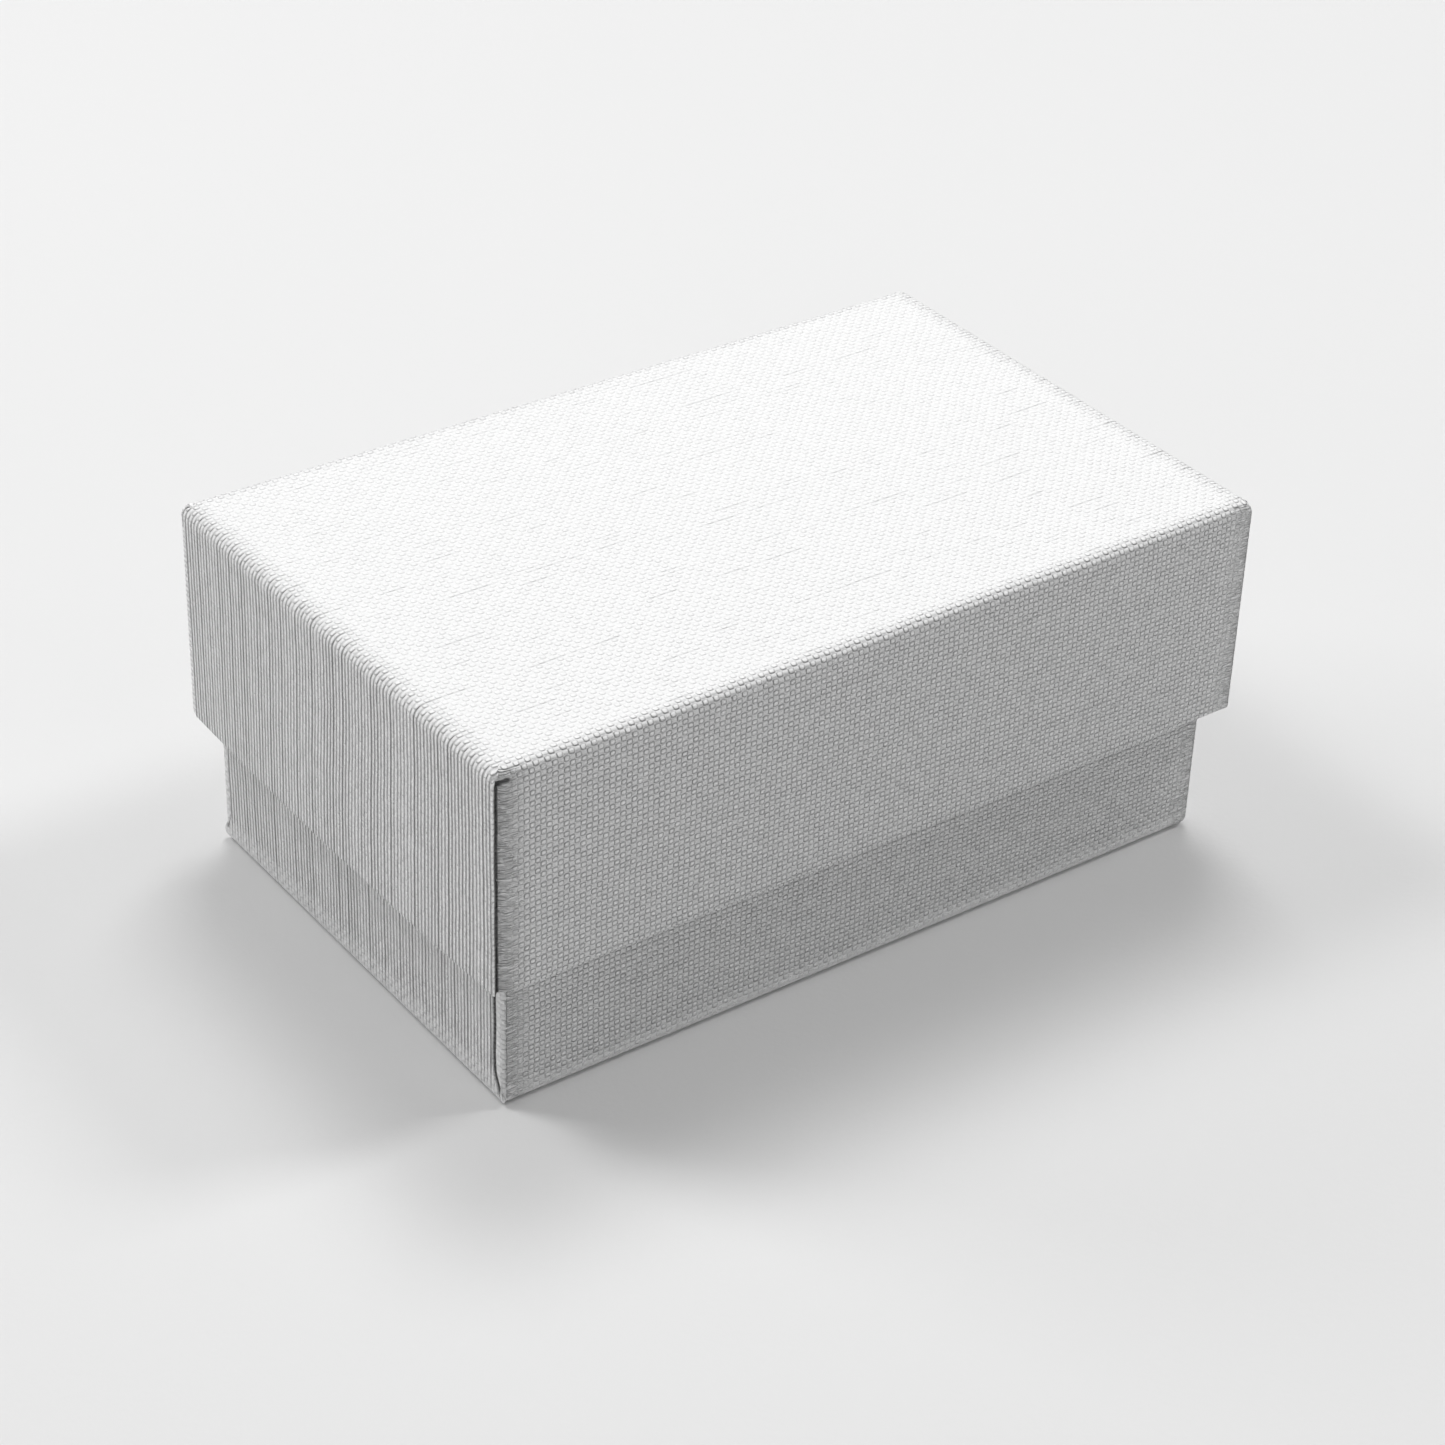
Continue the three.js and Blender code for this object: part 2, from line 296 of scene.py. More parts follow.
class Cover:
    """The sizes of one cover sheet, in millimetres, and the seams at its corners.

    A cover is modelled as a tray: the panel at z = 0 and the rim at z = depth."""

    def __init__(self, node, settings, near, left, right, front, seed):
        self.length, self.width, self.depth = node_size(node)
        self.corner = settings.corner_radius / MM
        self.fold = settings.fold_radius / MM
        self.rim = settings.rim_radius / MM
        self.wall = settings.wall / MM
        self.turn_in = settings.turn_in / MM
        self.lip = settings.lip / MM
        self.near = near
        self.left = left
        self.right = right
        self.front = front
        self.seed = seed

    def seam(self, co):
        """The seam at a point's corner. `front` is the side of the front in the tray, 1 or -1."""
        if co.x > 0:
            return self.right
        return self.near if co.y * self.front > 0 else self.left

    def turned(self, step, co):
        """How far the long wall's paper has turned at a step, and how far it has run on flat."""
        seam = self.seam(co)
        turn = seam.turn * min(step, ARC_STEPS) / ARC_STEPS
        run = min(max(step - ARC_STEPS, 0) / (BEND_STEPS - ARC_STEPS), 1.0)
        return turn, seam.strip * run

    def corner_point(self, step, co):
        """Outline at a corner, as distances in from the short wall and from the long wall."""
        seam = self.seam(co)
        place = Vector((self.seed + math.copysign(9, co.y), co.z * 0.3, math.copysign(5, co.x)))
        to_panel = 1 - smooth(co.z, 0.3, self.fold + 2.4)
        drift = SEAM_WANDER * noise.noise(place) - seam.drift * to_panel
        late = smooth(min(step, BEND_STEPS), 0.5 * BEND_STEPS, BEND_STEPS)
        closed = (1 - smooth(co.z, *POCKET_OPENS)) if seam.pocket else 0.0
        turn, run = self.turned(step, co)
        bent = (
            self.lip + seam.bend * (1 - math.sin(turn)) - run * math.cos(turn),
            max(seam.bend * (1 - math.cos(turn)) + run * math.sin(turn) + drift * late, 0.0))
        stops = (
            bent,
            mix_pair((seam.crevice[0], seam.crevice[1] + drift), CLOSED_CREVICE, closed),
            mix_pair((self.lip, seam.edge + drift), CLOSED_EDGE_INNER, closed),
            mix_pair((0.0, seam.edge + drift), CLOSED_EDGE_OUTER, closed),
            (0.0, self.corner))
        if step <= BEND_STEPS:
            return bent
        if step >= EDGE_OUTER_STEP:
            share = (step - EDGE_OUTER_STEP) / (CORNER_STEPS - EDGE_OUTER_STEP)
            return mix_pair(stops[3], stops[4], share)
        k = min(int(step - BEND_STEPS + 1e-6), 2)
        return mix_pair(stops[k], stops[k + 1], step - BEND_STEPS - k)


def mix_pair(a, b, share):
    return (a[0] + (b[0] - a[0]) * share, a[1] + (b[1] - a[1]) * share)


def fold_tray(name, cover):
    """One sheet folded into a tray: rim and turn-in first, then the walls, fold and panel."""
    select_none()
    bpy.ops.mesh.primitive_plane_add(size=1)
    piece = bpy.context.object
    piece.name = name
    bpy.ops.object.mode_set(mode="EDIT")
    rim_start = cover.depth - cover.rim
    bpy.ops.transform.resize(value=(cover.length, cover.width, 1))
    bpy.ops.transform.translate(value=(0, 0, rim_start))
    bpy.ops.mesh.bevel(
        offset=cover.corner, segments=CORNER_STEPS, affect="VERTICES", clamp_overlap=False)
    select_faces(piece, lambda face: True)
    round_over(cover.rim, 0, math.pi / 2, RIM_STEPS)
    bpy.ops.mesh.inset(thickness=cover.wall - 2 * cover.rim, depth=0)
    round_over(cover.rim, math.pi / 2, math.pi, RIM_STEPS)
    drop = cover.turn_in - cover.rim
    bpy.ops.mesh.extrude_region_move(TRANSFORM_OT_translate={"value": (0, 0, -drop)})
    bpy.ops.mesh.delete(type="ONLY_FACE")
    outer_x = cover.length / 2 - cover.corner
    outer_y = cover.width / 2 - cover.corner

    def on_outline(co):
        across = Vector((max(abs(co.x) - outer_x, 0), max(abs(co.y) - outer_y, 0)))
        return abs(co.z - rim_start) < 1e-3 and across.length > cover.corner - 1e-3

    select_edges(piece, on_outline)
    wall = rim_start - cover.fold
    bpy.ops.mesh.extrude_edges_move(TRANSFORM_OT_translate={"value": (0, 0, -wall)})
    bpy.ops.mesh.edge_face_add()
    bpy.ops.mesh.select_all(action="SELECT")
    bpy.ops.mesh.normals_make_consistent(inside=False)
    select_faces(piece, lambda face: len(face.vertices) > 4)
    round_over(cover.fold, 0, math.pi / 2, FOLD_STEPS)
    return piece


def cut_tray(piece, cover, settings):
    """Cuts that let the walls and panel bend: across each way, and finely round the walls."""
    cut = settings.cut / MM
    fine = settings.fine_cut / MM
    flat_x = cover.length / 2 - cover.corner
    flat_y = cover.width / 2 - cover.corner
    cut_evenly(-flat_x, flat_x, cut, (1, 0, 0))
    cut_evenly(-flat_y, flat_y, cut, (0, 1, 0))
    cut_evenly(cover.fold + fine, cover.depth - cover.rim - fine, fine, (0, 0, 1))
    bpy.ops.object.mode_set(mode="OBJECT")


def corner_place(co, cover):
    """(outline step, inset from the outline) of a point at a corner, or (None, inset)."""
    x = abs(co.x) - (cover.length / 2 - cover.corner)
    y = abs(co.y) - (cover.width / 2 - cover.corner)
    if x > 1e-4 and y > 1e-4:
        turn = math.atan2(x, y)
        return CORNER_STEPS * turn / (math.pi / 2), cover.corner - math.hypot(x, y)
    if y >= x - 1e-4 and abs(x) < 1e-3 and y > 1e-4:
        return 0.0, cover.corner - y
    if abs(y) < 1e-3 and x > 1e-4:
        return float(CORNER_STEPS), cover.corner - x
    return None, cover.corner - max(x, y)


def on_outside(inset, z, cover):
    return z < cover.fold or inset < cover.rim + 1e-3


def settle(co, cover):
    """Where a point of the plain tray goes once the paper is folded at the corners."""
    step, inset = corner_place(co, cover)
    if step is None or not on_outside(inset, co.z, cover):
        return co.copy()
    in_short, in_long = cover.corner_point(step, co)
    inward = Vector((cover.corner - in_short, cover.corner - in_long)).normalized() * inset
    target = Vector((
        math.copysign(cover.length / 2 - in_short - inward.x, co.x),
        math.copysign(cover.width / 2 - in_long - inward.y, co.y),
        co.z))
    share = 1 - smooth(inset, cover.fold * 0.35, cover.fold * 1.1)
    return co.lerp(target, share)


def wrinkle_height(co, cover, reach):
    """Creases that run level round a bend, from 0 to 1."""
    place = Vector((cover.seed + math.copysign(7, co.x) + math.copysign(3, co.y), co.z * 1.4, 0))
    broad = abs(noise.noise(place + Vector((0, 0, reach * 0.25))))
    fine = abs(noise.noise(place * 2.1 + Vector((5, 0, reach * 0.5))))
    return 1 - 1.9 * broad - 0.9 * fine


def sheet_point(plain, moved, short_side, cover):
    """A point's place on the flat sheet, in millimetres: along the grain, then across it."""
    step, inset = corner_place(plain, cover)
    fold_x = cover.length / 2 - cover.fold
    fold_y = cover.width / 2 - cover.fold
    z = plain.z
    if z < 1e-3:
        return plain.x, plain.y
    quarter = math.pi / 2
    if z < cover.fold - 1e-3:
        turn = math.atan2(cover.fold - z, cover.fold - inset)
        down = cover.fold * (quarter - turn)
    else:
        down = cover.fold * quarter + z - cover.fold
    if inset > 1e-3 and z > cover.fold + 1e-3:
        rim_start = cover.depth - cover.rim
        to_rim = cover.fold * quarter + rim_start - cover.fold
        if inset <= cover.rim and z >= rim_start - 1e-3:
            down = to_rim + cover.rim * math.atan2(z - rim_start, cover.rim - inset)
        elif z >= rim_start - 1e-3:
            down = to_rim + cover.rim * quarter + inset - cover.rim
        else:
            down = to_rim + cover.rim * (2 * quarter - 2) + cover.wall + rim_start - z
    if short_side:
        return math.copysign(fold_x + down, plain.x), moved.y
    along = moved.x
    if step is not None and inset < cover.rim and z > cover.fold:
        seam = cover.seam(moved)
        turn, run = cover.turned(step, moved)
        round_bend = cover.length / 2 - cover.lip - seam.bend * (1 - turn) + run
        along = math.copysign(round_bend, moved.x)
    return along, math.copysign(fold_y + down, plain.y)


def on_short_side(center, cover):
    """Whether a face of the tray belongs to a short wall's part of the sheet."""
    step, inset = corner_place(center, cover)
    if step is not None and inset < cover.rim and center.z > cover.fold:
        return step > EDGE_INNER_STEP
    return cover.length / 2 - abs(center.x) < cover.width / 2 - abs(center.y)


def bend_share(co, step, inset, cover):
    """How much a point belongs to the creased paper beside a corner, from 0 to 1.

    It is below 0 on the smooth strip between the creases and the crevice."""
    seam = cover.seam(co)
    beside_long = cover.width / 2 - abs(co.y) < seam.bend + seam.strip + 0.2
    if not on_outside(inset, co.z, cover) or co.z < 0.2 or not beside_long:
        return 0.0
    if step is not None and step > BEND_STEPS:
        return 0.0
    turn, _ = cover.turned(step or 0, co)
    reach = cover.length / 2 - cover.lip - abs(co.x)
    outer = 1 - 1.9 * smooth(turn, seam.creased * 0.75, seam.creased * 1.15)
    return outer * (1 - smooth(reach, 1.2, 2.4))


def pocket_depth(co, step, inset, cover):
    """The small pucker under the fold at the top of a seam, from 0 to 1."""
    seam = cover.seam(co)
    if seam.pocket == 0 or not on_outside(inset, co.z, cover):
        return 0.0
    beside_long = cover.width / 2 - abs(co.y) < 1.0
    if not beside_long or (step is not None and step > CREVICE_STEP):
        return 0.0
    reach = cover.length / 2 - abs(co.x)
    middle = 1.05 + 0.25 * smooth(reach, 1.4, 0.4)
    level = 1 - smooth(abs(co.z - middle), 0.12, 0.40)
    return level * (1 - smooth(reach, seam.pocket * 0.7, seam.pocket))


def shape_tray(piece, cover, paper, bulge):
    """Fold the paper at the corners, crease it there, bow the walls, and lay out the sheet."""
    mesh = piece.data
    plain = [v.co.copy() for v in mesh.vertices]
    moved = [settle(co, cover) for co in plain]
    layout = mesh.attributes.new("sheet", "FLOAT_VECTOR", "CORNER")
    for face in mesh.polygons:
        short_side = on_short_side(face.center, cover)
        for k in face.loop_indices:
            v = mesh.loops[k].vertex_index
            along, across = sheet_point(plain[v], moved[v], short_side, cover)
            layout.data[k].vector = (along * MM, across * MM, 0.0)
    bend = mesh.attributes.new("bend", "FLOAT", "POINT")
    # The crevice attribute holds painted shade: how dark the material paints the crevice at a seam
    # and the pucker's pocket.
    crevice = mesh.attributes.new("crevice", "FLOAT", "POINT")
    height = paper.wrinkle / MM
    for v, co in enumerate(moved):
        step, inset = corner_place(plain[v], cover)
        share = bend_share(co, step, inset, cover)
        pocket = pocket_depth(co, step, inset, cover)
        bend.data[v].value = share
        dark = 0.0
        if step is not None and on_outside(inset, co.z, cover) and inset < cover.fold * 0.6:
            dark = min(max(1.6 - abs(step - CREVICE_STEP - 0.1), 0.0), 1.0)
            if cover.seam(co).pocket:
                dark *= smooth(co.z, 0.75, 1.05)
        crevice.data[v].value = max(dark, pocket)
        if share > 0.01:
            turn, _ = cover.turned(step or 0, co)
            out = Vector((
                math.copysign(math.sin(turn), co.x), math.copysign(math.cos(turn), co.y), 0))
            start = smooth(co.z, 0.3, cover.fold + 0.5)
            reach = cover.length / 2 - abs(co.x)
            co += out * (height * share * start * (wrinkle_height(co, cover, reach) - 0.8))
        co.y -= math.copysign(POCKET_DEPTH * pocket, co.y)
        co += wall_bow(co, cover.length, cover.width, cover.depth, bulge)
    for v, co in zip(mesh.vertices, moved):
        v.co = co
    mesh.update()


def wall_bow(co, length, width, depth, bulge):
    """How far the board's spring pushes a short wall out, most at the middle of its rim."""
    if abs(co.x) < length / 2 - SHORT_WALL_REACH:
        return Vector((0, 0, 0))
    along = 1 - (2 * co.y / width) ** 2
    up = smooth(co.z, depth * 0.15, depth * 1.1)
    return Vector((math.copysign(bulge * max(along, 0) * up, co.x), 0, 0))


def fit_in_frame(piece, node, body, material, smooth_angle, height=0.0, turned=False):
    """Bring a piece from millimetres to metres, turn it over if asked, and fit it in the frame."""
    make_active(piece)
    bpy.ops.object.mode_set(mode="EDIT")
    bpy.ops.mesh.select_all(action="SELECT")
    bpy.ops.transform.resize(value=(MM, MM, MM), center_override=(0, 0, 0))
    if turned:
        bpy.ops.transform.rotate(
            value=math.pi, orient_axis="X", orient_type="GLOBAL", center_override=(0, 0, 0))
    bpy.ops.transform.translate(value=(0, 0, height))
    bpy.ops.object.mode_set(mode="OBJECT")
    bpy.ops.object.shade_smooth_by_angle(angle=math.radians(smooth_angle))
    piece.data.materials.clear()
    piece.data.materials.append(material)
    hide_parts(node)
    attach(piece, body)


def solid_block(name, low, high, rounding):
    """A block between two corners with rounded upright and upper edges."""
    select_none()
    bpy.ops.mesh.primitive_cube_add(size=1)
    block = bpy.context.object
    block.name = name
    bpy.ops.object.mode_set(mode="EDIT")
    bpy.ops.transform.resize(value=tuple(high - low))
    bpy.ops.transform.translate(value=tuple((low + high) / 2))
    select_edges(block, lambda co: co.z > low.z + 1e-3)
    bpy.ops.mesh.bevel(offset=rounding, segments=4, affect="EDGES")
    bpy.ops.object.mode_set(mode="OBJECT")
    return block


def slit_cutter(length, width, height, place, turn):
    select_none()
    bpy.ops.mesh.primitive_cube_add(size=1)
    cutter = bpy.context.object
    bpy.ops.object.mode_set(mode="EDIT")
    bpy.ops.transform.resize(value=(length, width, height))
    bpy.ops.transform.rotate(
        value=-turn, orient_axis="Z", orient_type="GLOBAL", center_override=(0, 0, 0))
    bpy.ops.transform.translate(value=tuple(place))
    bpy.ops.object.mode_set(mode="OBJECT")
    return cutter


def round_cutter(radius, height, place):
    select_none()
    bpy.ops.mesh.primitive_cylinder_add(radius=radius, depth=height, vertices=48)
    cutter = bpy.context.object
    bpy.ops.object.mode_set(mode="EDIT")
    bpy.ops.transform.translate(value=tuple(place))
    bpy.ops.object.mode_set(mode="OBJECT")
    return cutter


def cut_with(piece, cutters):
    for cutter in cutters:
        apply_modifier(piece, "BOOLEAN", operation="DIFFERENCE", object=cutter, solver="MANIFOLD")
        bpy.data.objects.remove(cutter)


def remesh(piece, voxel):
    apply_modifier(piece, "REMESH", mode="VOXEL", voxel_size=voxel)


def copy_of(piece, name):
    make_active(piece)
    bpy.ops.object.duplicate()
    twin = bpy.context.object
    twin.name = name
    return twin


# The cloth solver works best on a piece about as long as an arm.
CLOTH_SCALE = 0.01
CLOTH_FRAMES = 20


def inflate(piece, cap, low, high):
    """Swell a soft slab with the cloth solver. It stays flat beneath and inside its own room."""
    before = [v.co.copy() for v in piece.data.vertices]
    for vertex in piece.data.vertices:
        vertex.co *= CLOTH_SCALE
    make_active(piece)
    cloth = piece.modifiers.new("Cloth", "CLOTH")
    cloth.settings.use_pressure = True
    cloth.settings.uniform_pressure_force = 4
    cloth.settings.effector_weights.gravity = 0
    cloth.point_cache.frame_start = 1
    cloth.point_cache.frame_end = CLOTH_FRAMES
    for number in range(1, CLOTH_FRAMES + 1):
        bpy.context.scene.frame_set(number)
    bpy.ops.object.modifier_apply(modifier=cloth.name)
    bpy.context.scene.frame_set(1)
    for vertex, start in zip(piece.data.vertices, before):
        move = vertex.co / CLOTH_SCALE - start
        if move.length > cap:
            move *= cap / move.length
        move.z *= smooth(start.z, low.z + 0.4, low.z + 2.5)
        co = start + move
        co.x = min(max(co.x, low.x), high.x)
        co.y = min(max(co.y, low.y), high.y)
        vertex.co = co


def from_slit(co, place, length, turn):
    """Distance of a point, seen from above, from a slit's middle line."""
    along = Vector((math.cos(turn), -math.sin(turn)))
    offset = co.xy - place.xy
    run = min(max(offset.dot(along), -length / 2), length / 2)
    return (offset - along * run).length


# How deep the velvet sinks at a slit and at a stud hole, and the distances from them between
# which it rises again, in millimetres.
SLIT_SINK = 1.35
SLIT_EASE = (0.2, 2.9)
STUD_SINK = 0.8
STUD_EASE = (0.3, 2.6)


def press_in(piece, slits, top, stud_reach):
    """Sink the pad softly towards its slits and stud holes, and leave the hand's unevenness."""
    for vertex in piece.data.vertices:
        co = vertex.co
        upper = smooth(co.z, top - 3.0, top - 0.8)
        sink = 0.0
        for place, length, turn in slits:
            away = from_slit(co, place, length, turn)
            sink = max(sink, SLIT_SINK * (1 - smooth(away, *SLIT_EASE)))
        for end in (-1, 1):
            away = (co.xy - Vector((end * stud_reach, 0))).length
            sink = max(sink, STUD_SINK * (1 - smooth(away, *STUD_EASE)))
        rumple = 0.10 * noise.noise(co * 0.16) + 0.05 * noise.noise(co * 0.5)
        co.z += upper * (rumple - sink)


def shrink(piece, gap):
    """Draw a closed piece in by a gap all round."""
    normals = [v.normal.copy() for v in piece.data.vertices]
    for vertex, normal in zip(piece.data.vertices, normals):
        vertex.co -= normal * gap


# ---------------------------------------------------------------- materials


class Field:
    """A value that changes over a surface: a shader socket that takes part in sums."""

    def __init__(self, nodes, socket):
        self.nodes = nodes
        self.socket = socket

    def __add__(self, other):
        return self.nodes.math("ADD", self, other)

    def __radd__(self, other):
        return self.nodes.math("ADD", other, self)

    def __sub__(self, other):
        return self.nodes.math("SUBTRACT", self, other)

    def __rsub__(self, other):
        return self.nodes.math("SUBTRACT", other, self)

    def __mul__(self, other):
        return self.nodes.math("MULTIPLY", self, other)

    def __truediv__(self, other):
        return self.nodes.math("DIVIDE", self, other)

    def __abs__(self):
        return self.nodes.math("ABSOLUTE", self)


class Nodes:
    """Adds shader nodes to a material and wires them by plain calls."""

    def __init__(self, name):
        self.material = bpy.data.materials.new(name)
        self.material.use_nodes = True
        self.tree = self.material.node_tree
        self.shader = self.tree.nodes["Principled BSDF"]

    def add(self, kind, **settings):
        node = self.tree.nodes.new(kind)
        for key, value in settings.items():
            setattr(node, key, value)
        return node

    def feed(self, socket, value):
        if isinstance(value, Field):
            self.tree.links.new(value.socket, socket)
        else:
            socket.default_value = value

    def math(self, operation, a, b=0.0):
        node = self.add("ShaderNodeMath", operation=operation)
        self.feed(node.inputs[0], a)
        self.feed(node.inputs[1], b)
        return Field(self, node.outputs[0])

    def step(self, value, start, end):
        """0 below start, 1 above end, smooth between."""
        node = self.add("ShaderNodeMapRange", interpolation_type="SMOOTHSTEP")
        self.feed(node.inputs["Value"], value)
        node.inputs["From Min"].default_value = start
        node.inputs["From Max"].default_value = end
        return Field(self, node.outputs["Result"])

    def fade(self, value, start, end):
        """1 below start, 0 above end, smooth between."""
        return 1.0 - self.step(value, start, end)

    def join(self, x, y, z=0.0):
        node = self.add("ShaderNodeCombineXYZ")
        for socket, value in zip(node.inputs, (x, y, z)):
            self.feed(socket, value)
        return Field(self, node.outputs[0])

    def split(self, vector):
        node = self.add("ShaderNodeSeparateXYZ")
        self.feed(node.inputs[0], vector)
        return [Field(self, output) for output in node.outputs]

    def noise(self, vector, scale, detail=2.0, roughness=0.5):
        node = self.add("ShaderNodeTexNoise")
        self.feed(node.inputs["Vector"], vector)
        node.inputs["Scale"].default_value = scale
        node.inputs["Detail"].default_value = detail
        node.inputs["Roughness"].default_value = roughness
        return Field(self, node.outputs["Fac"])

    def cells(self, vector, scale):
        """Distance from the middle of the nearest of many scattered cells."""
        node = self.add("ShaderNodeTexVoronoi")
        self.feed(node.inputs["Vector"], vector)
        node.inputs["Scale"].default_value = scale
        return Field(self, node.outputs["Distance"])

    def scatter(self, value):
        """A random number for each whole number."""
        node = self.add("ShaderNodeTexWhiteNoise", noise_dimensions="1D")
        self.feed(node.inputs["W"], value)
        return Field(self, node.outputs["Value"])

    def blend(self, share, a, b):
        node = self.add("ShaderNodeMix", data_type="RGBA")
        self.feed(node.inputs["Factor"], share)
        self.feed(node.inputs["A"], a)
        self.feed(node.inputs["B"], b)
        return Field(self, node.outputs["Result"])

    def object_place(self):
        return Field(self, self.add("ShaderNodeTexCoord").outputs["Object"])

    def attribute(self, name, output="Fac"):
        node = self.add("ShaderNodeAttribute", attribute_name=name)
        return Field(self, node.outputs[output])

    def bump(self, height, distance):
        node = self.add("ShaderNodeBump")
        node.inputs["Distance"].default_value = distance
        self.feed(node.inputs["Height"], height)
        return Field(self, node.outputs["Normal"])

    def finish(self, colour, roughness, normal, **constants):
        self.feed(self.shader.inputs["Base Color"], colour)
        self.feed(self.shader.inputs["Roughness"], roughness)
        self.feed(self.shader.inputs["Normal"], normal)
        for key, value in constants.items():
            self.shader.inputs[key.replace("_", " ")].default_value = value
        return self.material


def tint(colour, share):
    return tuple(channel * share for channel in colour[:3]) + (1.0,)


# Distances from the middle of the flat sheet between which the emboss changes: beside the short
# walls and the long walls, over the start and the end of the fold to a short wall, and where
# painted shade and painted highlights go onto the upright ridges of a short wall.
BESIDE_SHORT_WALL = (37.5 * MM, 39.5 * MM)
BESIDE_LONG_WALL = (23.5 * MM, 26 * MM)
FOLD_START = (37.9 * MM, 38.8 * MM)
FOLD_END = (39.9 * MM, 41.2 * MM)
RIDGES_PAINTED_LIGHT = (39.4 * MM, 40.6 * MM)

# One strong groove falls at a random place in every run of this many threads.
GROOVE_RUN = 5.0


def thread_grooves(n, thread, along, short_wall, long_wall):
    """Grooves in the gaps between threads: a few strong ones, and weak and uneven ones."""
    gap = n.math("ROUND", thread)
    from_gap = abs(thread - gap)
    run = n.math("FLOOR", gap / GROOVE_RUN)
    picked = n.math("FLOOR", n.scatter(run) * GROOVE_RUN)
    from_picked = gap - run * GROOVE_RUN - picked
    strong = n.math("LESS_THAN", abs(from_picked), 0.5)
    strong = strong * (0.45 + n.scatter(run + 0.5) * 0.55)
    weak = n.step(n.scatter(gap + 0.5), 0.45, 1.0) * 0.40
    chosen = n.math("MAXIMUM", strong, weak)
    length = n.noise(n.join(along * 210.0, gap * 3.17), 1.0, 1.0)
    unbroken = n.math("MAXIMUM", n.step(length, 0.52, 0.66), short_wall * 0.85)
    unbroken = unbroken * (1.0 - long_wall * 0.75)
    return chosen * unbroken * n.fade(from_gap, 0.02, 0.28)


def linen_paper(paper):
    """White paper embossed with a plain weave, with deeper grooves between some threads, and painted
    shade and painted highlights in its relief.
    """
    n = Nodes("linen_embossed_paper")
    along, across, _ = n.split(n.attribute("sheet", "Vector"))
    place = n.join(along, across)
    short_wall = n.step(abs(along), *BESIDE_SHORT_WALL)
    long_wall = n.step(abs(across), *BESIDE_LONG_WALL)
    panel = (1.0 - short_wall) * (1.0 - long_wall)
    fold = n.step(abs(along), *FOLD_START) - n.step(abs(along), *FOLD_END)

    drift = n.noise(place, 45, 1.0) - 0.5
    sway = n.noise(place, 330, 1.0) - 0.5
    thread = across / paper.thread_across + drift * 1.1 + sway * 0.32
    weft = along / paper.thread_along + drift * 0.8 + sway * 0.5
    over = n.math("SINE", weft * math.pi)
    under = n.math("SINE", thread * math.pi)
    knuckle = n.step(over * under, -0.28, 0.52)
    ridge = abs(under)
    rib = abs(over)
    groove = thread_grooves(n, thread, along, short_wall, long_wall)

    # The creases lie level where the paper bends round an upright corner.
    bend = n.attribute("bend")
    level = n.join(along * 420.0, across * 2100.0)
    crease = n.fade(abs(n.noise(level, 1.0, 2.0, 0.6) - 0.5), 0.0, 0.16)
    crease = crease * n.math("MAXIMUM", bend, 0.0)

    ridged = 0.30 + short_wall * 0.70 - fold * 0.57
    height = knuckle * (0.70 - short_wall * 0.20) + ridge * ridged + rib * 0.08
    uneven = 0.40 + n.noise(place, 800, 2.0) * 1.2
    flatter = 1.0 - abs(bend) * 0.75
    height = height * uneven * flatter
    height = height * (1.0 - panel * 0.58) * (1.0 + long_wall * 0.75)
    tooth = n.noise(place, 5200, 2.0) - 0.5
    height = height + tooth * 0.10
    cut = 0.9 - n.math("MAXIMUM", panel, fold) * 0.68
    height = height - groove * cut - crease * 1.4

    cloud = n.noise(place, 90, 3.0)
    colour = n.blend(cloud, tint(paper.tone, 0.985), tint(paper.tone, 1.0))
    # Painted shade: the grooves between threads are painted darker, most on the short walls.
    painted_groove_shade = groove * (0.07 + short_wall * 0.62)
    colour = n.blend(painted_groove_shade, colour, tint(paper.tone, 0.35))
    # Painted shade: the hollows between the knuckles of the weave are painted darker.
    painted_hollow_shade = 1.0 - n.math("MAXIMUM", knuckle, ridge * 0.5)
    painted_hollow_shade = painted_hollow_shade * (0.35 - panel * 0.32 - short_wall * 0.13)
    colour = n.blend(painted_hollow_shade, colour, tint(paper.tone, 0.5))
    # Painted shade on a short wall: the valleys between its upright ridges are painted darker.
    painted_ridge_light_mask = n.step(abs(along), *RIDGES_PAINTED_LIGHT)
    painted_valley_shade = n.fade(ridge, 0.0, 0.55) * painted_ridge_light_mask
    colour = n.blend(painted_valley_shade * 0.22, colour, tint(paper.tone, 0.5))
    # Painted highlight on a short wall: the crests of its upright ridges are painted lighter.
    painted_crest_highlight = n.step(ridge, 0.55, 0.95) * painted_ridge_light_mask
    colour = n.blend(painted_crest_highlight, colour, tint(paper.tone, 1.08))
    # Painted shade: the creases beside an upright corner are painted darker.
    colour = n.blend(crease * 0.28, colour, tint(paper.tone, 0.45))
    # Painted shade: the crevice at each seam and the pucker's pocket are painted nearly black.
    crevice = n.step(n.attribute("crevice"), 0.3, 0.85)
    colour = n.blend(crevice, colour, tint(paper.tone, 0.15))
    fleck = n.fade(n.cells(place, 95), 0.012, 0.02)
    colour = n.blend(fleck * 0.35, colour, tint(paper.tone, 0.5))
    return n.finish(
        colour, 0.74 + cloud * 0.14, n.bump(height, paper.relief), Specular_IOR_Level=0.35)


